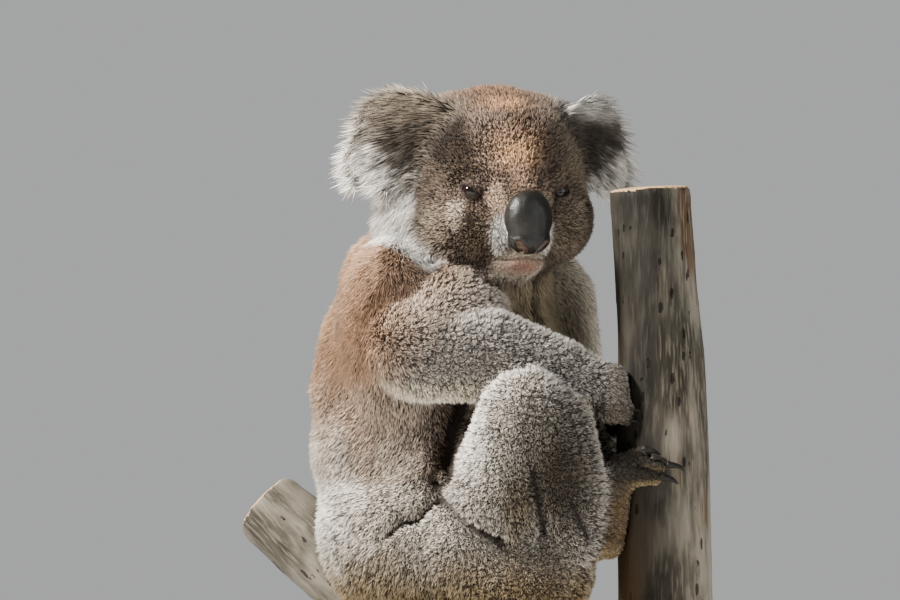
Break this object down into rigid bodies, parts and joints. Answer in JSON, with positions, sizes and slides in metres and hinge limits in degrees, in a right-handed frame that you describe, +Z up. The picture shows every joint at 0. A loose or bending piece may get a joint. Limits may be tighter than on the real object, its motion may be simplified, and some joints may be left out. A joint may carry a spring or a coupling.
{
  "type": "still model of a koala in a tree fork on a display stand",
  "caption": "Life-size still model of a koala that sits in a short cut tree fork and hugs its stem, held by a flat display stand.",
  "frame": {"origin": "middle of the display stand's underside, on the floor, which is the bottom centre of the whole model's box", "axes": "+Z up; +X the way the body faces, towards the upright stem, with the body turned about 30 degrees from it towards -Y; -Y the side that the turned face looks to"},
  "size_m": [0.43, 0.34, 0.6923],
  "materials": {
    "coat": "dense woolly fur, grey-brown with pale tips",
    "eye": "moist dark brown eye, gloss",
    "nose": "dark leathery skin, satin",
    "claw": "dark horn, satin",
    "bark": "smooth gum bark, matt",
    "stand": "black powder coat, satin"
  },
  "bodies": {
    "root": {"belly": "coat", "chest": "coat", "claw_foot_left_2": "claw", "claw_foot_left_3": "claw", "claw_foot_left_4": "claw", "claw_foot_left_5": "claw", "claw_foot_right_2": "claw", "claw_foot_right_3": "claw", "claw_foot_right_4": "claw", "claw_foot_right_5": "claw", "claw_hand_left_1": "claw", "claw_hand_left_2": "claw", "claw_hand_left_3": "claw", "claw_hand_left_4": "claw", "claw_hand_left_5": "claw", "claw_hand_right_1": "claw", "claw_hand_right_2": "claw", "claw_hand_right_3": "claw", "claw_hand_right_4": "claw", "claw_hand_right_5": "claw", "ear_left": "coat", "ear_right": "coat", "eye_left": "eye", "eye_right": "eye", "foot_left": "coat", "foot_right": "coat", "forearm_left": "coat", "forearm_right": "coat", "hand_left": "coat", "hand_right": "coat", "head": "coat", "neck": "coat", "nose": "nose", "perch_limb": "bark", "perch_stem": "bark", "rump": "coat", "shin_left": "coat", "shin_right": "coat", "stand_base": "stand", "stand_rod_limb": "stand", "stand_rod_stem": "stand", "thigh_left": "coat", "thigh_right": "coat", "upper_arm_left": "coat", "upper_arm_right": "coat"}
  },
  "joints": []
}
